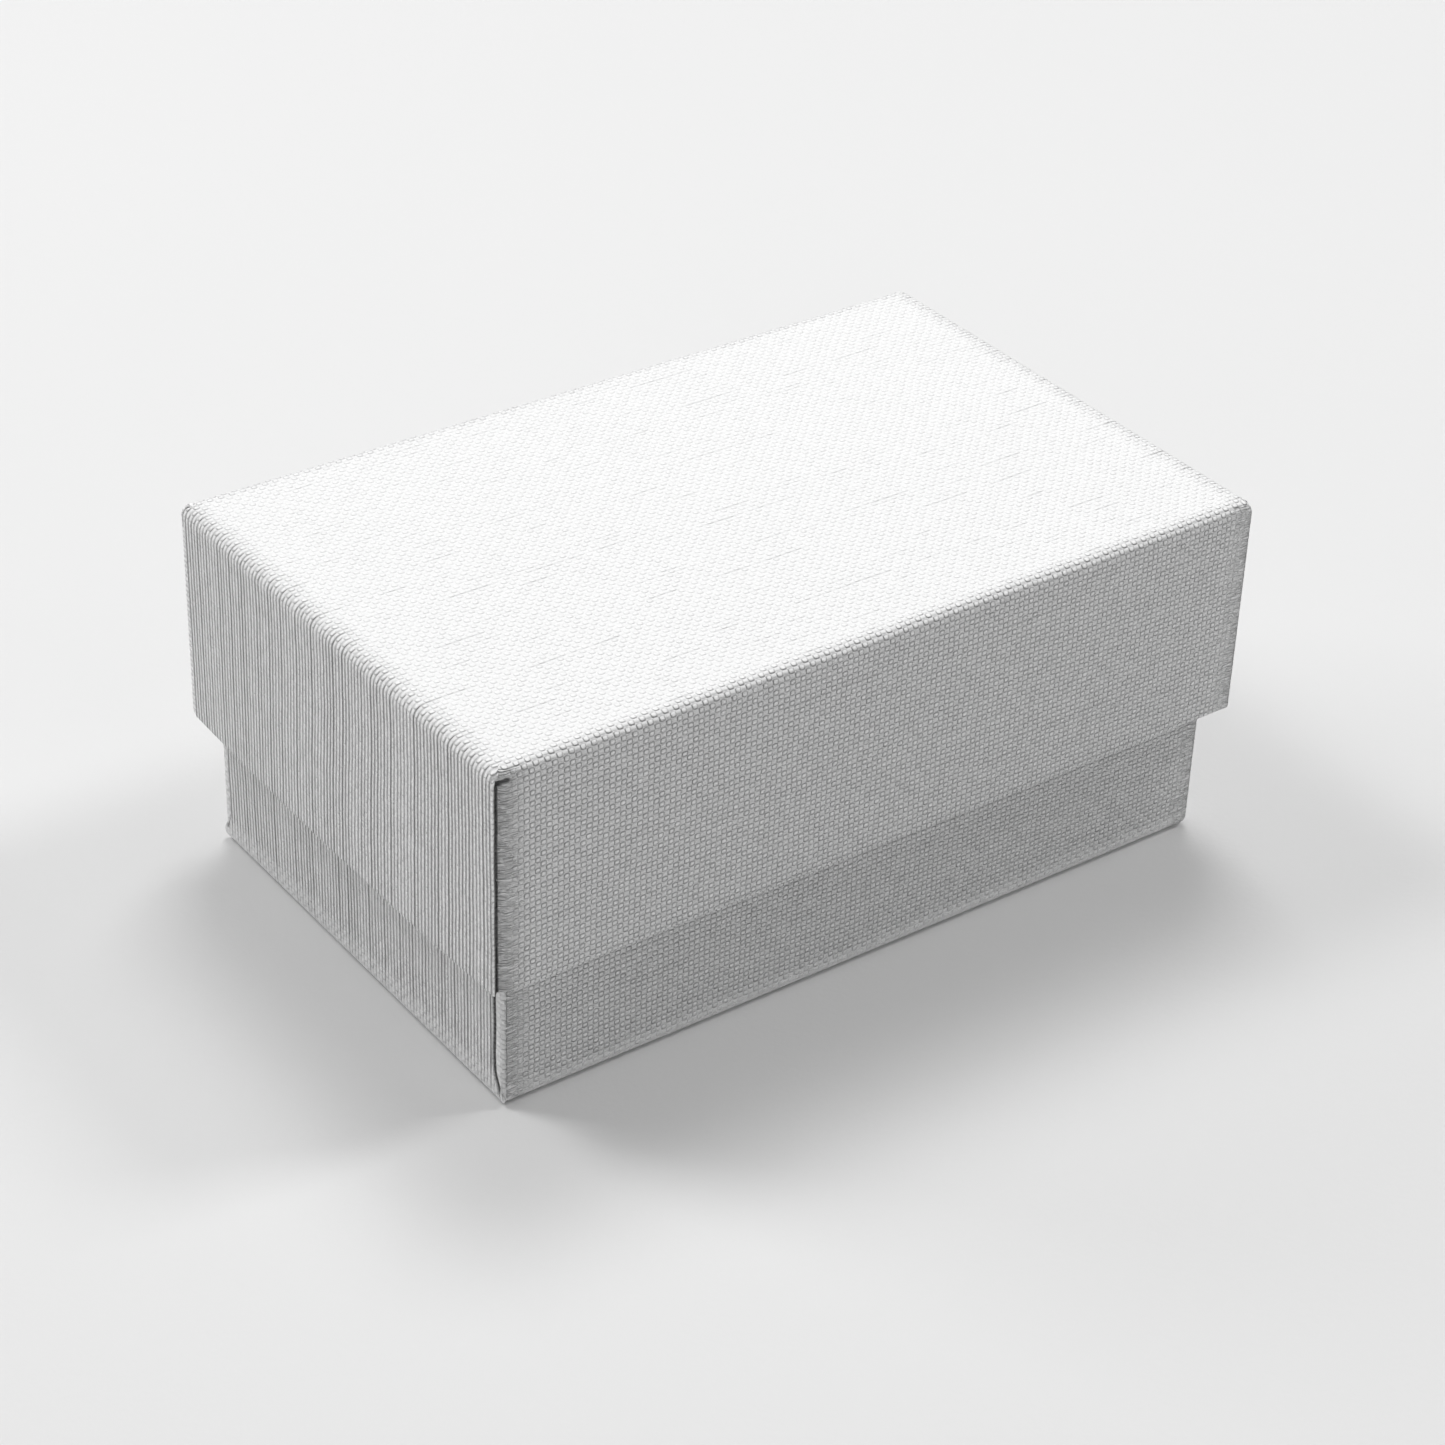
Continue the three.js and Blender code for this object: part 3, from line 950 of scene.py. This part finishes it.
def greyboard(node, thickness):
    """Grey recycled board with pale and dark fibres, lined with white on its inner side."""
    n = Nodes("greyboard_of_" + node)
    place = n.object_place()
    fibre = n.noise(place, 900, 4.0, 0.7)
    cloud = n.noise(place, 120, 2.0)
    colour = n.blend(fibre, (0.27, 0.25, 0.22, 1), (0.50, 0.47, 0.42, 1))
    colour = n.blend(cloud * 0.4, colour, (0.36, 0.34, 0.31, 1))
    dark = n.fade(n.cells(place, 700), 0.08, 0.14)
    colour = n.blend(dark * 0.6, colour, (0.10, 0.10, 0.11, 1))
    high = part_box(node)[1]
    x, y, _ = n.split(place)
    past_x = abs(x) - (high.x - thickness)
    past_y = abs(y) - (high.y - thickness)
    bare = n.step(n.math("MAXIMUM", past_x, past_y), 0.02 * MM, 0.10 * MM)
    lined = n.blend(cloud, (0.78, 0.78, 0.77, 1), (0.85, 0.85, 0.84, 1))
    colour = n.blend(bare, lined, colour)
    return n.finish(colour, 0.9, n.bump(fibre, 0.04 * MM), Specular_IOR_Level=0.2)


def kraft_tape():
    """Brown gummed paper tape with long fibres."""
    n = Nodes("kraft_tape_paper")
    x, y, z = n.split(n.object_place())
    fibre = n.noise(n.join(x * 3.0, y * 3.0, z * 0.3), 500, 4.0, 0.65)
    colour = n.blend(fibre, (0.28, 0.16, 0.07, 1), (0.50, 0.31, 0.16, 1))
    return n.finish(
        colour, 0.6 + fibre * 0.2, n.bump(fibre, 0.02 * MM), Specular_IOR_Level=0.3)


def lining_paper():
    """Smooth white paper with a faint cloud of fibres."""
    n = Nodes("lining_paper_smooth")
    place = n.object_place()
    cloud = n.noise(place, 300, 3.0)
    tooth = n.noise(place, 4000, 2.0)
    colour = n.blend(cloud, (0.80, 0.80, 0.79, 1), (0.86, 0.86, 0.855, 1))
    return n.finish(
        colour, 0.68 + cloud * 0.15, n.bump(tooth, 0.012 * MM), Specular_IOR_Level=0.3)


def white_foam():
    """Soft open-celled foam, with painted shade in its pores."""
    n = Nodes("white_foam_cells")
    place = n.object_place()
    depth = n.cells(place, 2200) * 0.6 + n.cells(place, 900) * 0.4
    # Painted shade: the pores of the foam are painted darker.
    painted_pore_shade = n.fade(depth, 0.05, 0.4)
    colour = n.blend(painted_pore_shade, (0.83, 0.82, 0.79, 1), (0.52, 0.51, 0.48, 1))
    return n.finish(colour, 0.95, n.bump(depth, 0.12 * MM), Specular_IOR_Level=0.1)


def pad_card():
    """Cream pulp card."""
    n = Nodes("pad_card_pulp")
    fibre = n.noise(n.object_place(), 1200, 4.0, 0.7)
    colour = n.blend(fibre, (0.55, 0.52, 0.45, 1), (0.70, 0.67, 0.60, 1))
    return n.finish(colour, 0.9, n.bump(fibre, 0.03 * MM), Specular_IOR_Level=0.2)


def pad_velvet(tone):
    """Off-white velvet: a short dense pile that lies a little differently from place to place."""
    n = Nodes("pad_velvet_pile")
    place = n.object_place()
    pile = n.noise(place, 9000, 3.0, 0.7)
    tuft = n.noise(place, 2600, 2.0, 0.6)
    nap = n.noise(place, 55, 3.0, 0.6)
    colour = n.blend(nap, tint(tone, 0.86), tint(tone, 1.0))
    colour = n.blend(pile * 0.35, colour, tint(tone, 0.70))
    return n.finish(
        colour, 0.95, n.bump(pile * 0.5 + tuft * 0.5, 0.10 * MM), Specular_IOR_Level=0.1,
        Sheen_Weight=0.6, Sheen_Roughness=0.4)


def stage_surface(tone):
    """Matt white board under the box, with a faint grain and a little dust."""
    n = Nodes("stage_matt_board")
    place = n.object_place()
    grain = n.noise(place, 1600, 3.0, 0.6)
    colour = n.blend(n.noise(place, 9, 2.0), tint(tone, 0.985), tint(tone, 1.0))
    dust = n.fade(n.cells(place, 28), 0.008, 0.014)
    colour = n.blend(dust * 0.25, colour, tint(tone, 0.6))
    return n.finish(colour, 0.7, n.bump(grain, 0.02 * MM), Specular_IOR_Level=0.3)


def dress_node(node, material):
    """Give a CAD node its finish."""
    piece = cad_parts[node]
    piece.data.materials.clear()
    piece.data.materials.append(material)


# ---------------------------------------------------------------- operators


# Creases sharper than this, in degrees, stay sharp on the cover papers and on soft pieces.
SHEET_SMOOTH = 35
SOFT_SMOOTH = 50

# The cuts in the foam block and the pad, in millimetres. A cutter that goes right through is
# THROUGH high.
THROUGH = 30.0
RING_SLOT_WIDTH = 3.0
RING_SLOT_CUTTER = 10.0
SLIT_WIDTH = 0.8
STUD_RADIUS = 0.8
NOTCH_RADIUS = 7.0
NOTCH_CUTTER = 20.0
CHAIN_INSET = 8.0
TURN_UNDER = 7.5

# Rounded edges, voxels, margin and skin of the soft pieces, in millimetres. A voxel is the
# finest detail that the remesh keeps.
FOAM_SEED = 5
FOAM_EDGE = 1.2
FOAM_VOXEL = 0.75
PAD_EDGE = 1.3
PAD_VOXEL = 1.0
PAD_MARGIN = Vector((0.08, 0.08, 0.10))
VELVET_THICKNESS = 0.5
SPONGE_GAP = 0.62
CUTTER_EDGE = 0.5


class GIFTBOX_OT_covers(bpy.types.Operator):
    """Fold the cover papers of the base and the lid"""

    bl_idname = "giftbox.covers"
    bl_label = "Cover Papers"

    def execute(self, context):
        paper = context.scene.giftbox_paper
        box = context.scene.giftbox_box
        material = linen_paper(paper)
        open_seam = Seam(bend=1.6, turn=42, strip=0.0, crevice=(0.56, 0.52), edge=0.14,
                         drift=0.1, creased=60, pocket=2.1)
        closed_seam = Seam(bend=0.5, turn=90, strip=0.45, crevice=(0.22, 1.1), edge=1.2,
                           drift=0.4, creased=20)
        tucked_seam = Seam(bend=0.5, turn=90, strip=0.6, crevice=(0.24, 1.24), edge=1.44,
                           drift=1.1, creased=26)
        lid = Cover("lid_cover", box, near=open_seam, left=closed_seam, right=closed_seam,
                    front=1, seed=11.0)
        base = Cover("base_cover", box, near=tucked_seam, left=tucked_seam, right=closed_seam,
                     front=-1, seed=23.0)
        for body, cover, bulge in (("lid", lid, box.bulge / MM), ("base", base, 0.0)):
            node = body + "_cover"
            piece = fold_tray(node + "_paper", cover)
            cut_tray(piece, cover, box)
            shape_tray(piece, cover, paper, bulge)
            apply_modifier(piece, "SOLIDIFY", thickness=paper.thickness / MM, offset=-1.0)
            low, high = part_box(node)
            turned = body == "lid"
            height = high.z if turned else low.z
            fit_in_frame(
                piece, node, body, material, SHEET_SMOOTH, height, turned)
        return {"FINISHED"}


class GIFTBOX_OT_boards(bpy.types.Operator):
    """Finish the greyboard trays, their corner tapes and the linings"""

    bl_idname = "giftbox.boards"
    bl_label = "Boards, Tapes and Linings"

    def execute(self, context):
        thickness = context.scene.giftbox_box.board
        tape, lining = kraft_tape(), lining_paper()
        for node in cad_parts:
            if node.endswith("_board"):
                dress_node(node, greyboard(node, thickness))
            if "_corner_tape_" in node:
                dress_node(node, tape)
            if node.endswith("_lining"):
                dress_node(node, lining)
        return {"FINISHED"}


class GIFTBOX_OT_foam(bpy.types.Operator):
    """Cut the foam block with its ring slot"""

    bl_idname = "giftbox.foam"
    bl_label = "Foam Block"

    def execute(self, context):
        pad = context.scene.giftbox_pad
        low, high = (millimetres(corner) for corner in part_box("foam_block"))
        block = solid_block("foam_block_cut", low, high, FOAM_EDGE)
        top = Vector((0, 0, high.z))
        slot = slit_cutter(pad.ring_slot / MM, RING_SLOT_WIDTH, RING_SLOT_CUTTER, top, 0.0)
        cut_with(block, [slot])
        remesh(block, FOAM_VOXEL)
        apply_modifier(block, "SUBSURF", levels=1)
        noise.seed_set(FOAM_SEED)
        for vertex in block.data.vertices:
            co = vertex.co
            wave = noise.noise_vector(co * 0.16) * 0.10 + noise.noise_vector(co * 0.9) * 0.035
            waist = 1 - (2 * (co.z - low.z) / (high.z - low.z) - 1) ** 2
            pull = 0.18 * waist * smooth(abs(co.y), high.y - 1.5, high.y)
            co += Vector((wave.x, wave.y - math.copysign(pull, co.y), min(wave.z, 0)))
        fit_in_frame(block, "foam_block", "base", white_foam(), SOFT_SMOOTH)
        return {"FINISHED"}


class GIFTBOX_OT_pad(bpy.types.Operator):
    """Sew the velvet over its sponge, and slit both for the jewellery"""

    bl_idname = "giftbox.pad"
    bl_label = "Velvet Pad"

    def execute(self, context):
        pad = context.scene.giftbox_pad
        low, high = (millimetres(corner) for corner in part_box("pad_velvet"))
        velvet = solid_block("pad_velvet_cover", low + PAD_MARGIN, high - PAD_MARGIN, PAD_EDGE)
        notch_middle = Vector((0, low.y - 1.0, low.z + 3))
        cut_with(velvet, [round_cutter(NOTCH_RADIUS + PAD_MARGIN.y, NOTCH_CUTTER, notch_middle)])
        remesh(velvet, PAD_VOXEL)
        inflate(velvet, pad.swell / MM, low, high)
        apply_modifier(velvet, "SUBSURF", levels=1)

        # A long slit holds rings, and one across each back corner holds a chain.
        slits = [(Vector((0, 0, high.z)), pad.ring_slot / MM, 0.0)]
        for end in (-1, 1):
            reach = pad.chain_slit / MM
            corner = Vector((
                end * (high.x - CHAIN_INSET), high.y - reach / 2 / math.sqrt(2), high.z))
            slits.append((corner, reach, end * math.pi / 4))
        stud_reach = pad.stud_spacing / MM / 2
        press_in(velvet, slits, high.z, stud_reach)
        sponge = copy_of(velvet, "pad_sponge_cushion")
        shrink(sponge, SPONGE_GAP)
        apply_modifier(velvet, "SOLIDIFY", thickness=VELVET_THICKNESS, offset=-1.0)

        for piece in (velvet, sponge):
            cutters = [
                slit_cutter(reach, SLIT_WIDTH, THROUGH, place, turn)
                for place, reach, turn in slits]
            cutters += [
                round_cutter(STUD_RADIUS, THROUGH, Vector((end * stud_reach, 0, high.z)))
                for end in (-1, 1)]
            if piece is velvet:
                inner = high - Vector((TURN_UNDER, TURN_UNDER, 0))
                cutters.append(solid_block(
                    "turn_under_opening", Vector((-inner.x, -inner.y, low.z - 2)),
                    Vector((inner.x, inner.y, low.z + 0.9)), CUTTER_EDGE))
            else:
                under = millimetres(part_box("pad_sponge")[0]).z
                cutters.append(solid_block(
                    "card_room", Vector((low.x - 5, low.y - 5, low.z - 5)),
                    Vector((high.x + 5, high.y + 5, under)), CUTTER_EDGE))
            cut_with(piece, cutters)
        velvet_pile = pad_velvet(pad.velvet_tone)
        fit_in_frame(velvet, "pad_velvet", "pad", velvet_pile, SOFT_SMOOTH)
        fit_in_frame(sponge, "pad_sponge", "pad", white_foam(), SOFT_SMOOTH)
        dress_node("pad_card", pad_card())
        return {"FINISHED"}


# Where the camera looks, as an offset along and across from the middle of the box.
LOOK_ALONG = -4.5 * MM
LOOK_ACROSS = -7.25 * MM
FLOOR_SIZE = 6.0
SENSOR_WIDTH = 36

# Each light: its name, the side it stands on and its height in degrees, its width in metres, and
# its power in watts.
LIGHTS = (
    ("stage_behind_left_low", 215, 25, 0.35, 1.9),
    ("stage_behind_left", 216, 54, 0.26, 2.4),
    ("stage_behind", 143, 65, 0.35, 3.5),
    ("stage_right", 72, 50, 0.22, 2.35),
    ("stage_front", 0, 45, 0.35, 0.4),
    ("stage_overhead", 0, 88, 0.45, 0.3),
)


def towards(side, height):
    """A direction from the box, by the angle round it from the front and the angle up."""
    level = math.cos(height)
    return Vector((math.sin(side) * level, -math.cos(side) * level, math.sin(height)))


def add_light(name, side, height, size, power):
    """A square soft light, one metre from the box."""
    place = towards(math.radians(side), math.radians(height))
    bpy.ops.object.light_add(type="AREA", location=place)
    light = bpy.context.object
    light.name = name
    light.data.shape = "SQUARE"
    light.data.size = size
    light.data.energy = power
    light.rotation_euler = (-light.location).to_track_quat("-Z", "Y").to_euler()


class GIFTBOX_OT_stage(bpy.types.Operator):
    """Lay the floor, hang the lights and set the camera"""

    bl_idname = "giftbox.stage"
    bl_label = "Stage"

    def execute(self, context):
        stage = context.scene.giftbox_stage
        scene = context.scene
        low, high = cad_box
        middle = Vector((LOOK_ALONG, LOOK_ACROSS, high[2] / 2))

        select_none()
        bpy.ops.mesh.primitive_plane_add(size=FLOOR_SIZE, location=(0, 0, low[2]))
        floor = context.object
        floor.name = "stage_floor"
        floor.data.materials.append(stage_surface(stage.floor_tone))

        offset = towards(stage.azimuth, stage.elevation)
        bpy.ops.object.camera_add(location=middle + offset * stage.distance)
        camera = context.object
        camera.name = "stage_camera"
        track = (-offset).to_track_quat("-Z", "Y").to_matrix()
        camera.rotation_euler = (track @ Matrix.Rotation(stage.roll, 3, "Z")).to_euler()
        camera.data.lens = stage.lens
        camera.data.sensor_width = SENSOR_WIDTH
        camera.data.clip_start = 0.01
        scene.camera = camera

        for name, side, height, size, power in LIGHTS:
            add_light(name, side, height, size, power)
        world = bpy.data.worlds.new("stage_surround")
        world.use_nodes = True
        background = world.node_tree.nodes["Background"]
        background.inputs["Color"].default_value = (1, 1, 1, 1)
        background.inputs["Strength"].default_value = stage.surround
        scene.world = world
        scene.view_settings.view_transform = "Standard"
        return {"FINISHED"}


class GIFTBOX_PT_panel(bpy.types.Panel):
    bl_idname = "GIFTBOX_PT_panel"
    bl_label = "Linen Gift Box"
    bl_space_type = "VIEW_3D"
    bl_region_type = "UI"
    bl_category = "Gift Box"

    def draw(self, context):
        for operator in OPERATORS:
            self.layout.operator(operator.bl_idname)


SETTINGS = {
    "giftbox_paper": PaperSettings,
    "giftbox_box": BoxSettings,
    "giftbox_pad": PadSettings,
    "giftbox_stage": StageSettings,
}
OPERATORS = (
    GIFTBOX_OT_stage, GIFTBOX_OT_covers, GIFTBOX_OT_boards, GIFTBOX_OT_foam, GIFTBOX_OT_pad)


def register():
    for name, group in SETTINGS.items():
        bpy.utils.register_class(group)
        setattr(bpy.types.Scene, name, PointerProperty(type=group))
    for operator in OPERATORS:
        bpy.utils.register_class(operator)
    bpy.utils.register_class(GIFTBOX_PT_panel)


def unregister():
    bpy.utils.unregister_class(GIFTBOX_PT_panel)
    for operator in reversed(OPERATORS):
        bpy.utils.unregister_class(operator)
    for name, group in reversed(SETTINGS.items()):
        delattr(bpy.types.Scene, name)
        bpy.utils.unregister_class(group)


def main():
    register()
    bpy.ops.giftbox.stage()
    bpy.ops.giftbox.covers()
    bpy.ops.giftbox.boards()
    bpy.ops.giftbox.foam()
    bpy.ops.giftbox.pad()


if __name__ == "__main__":
    main()
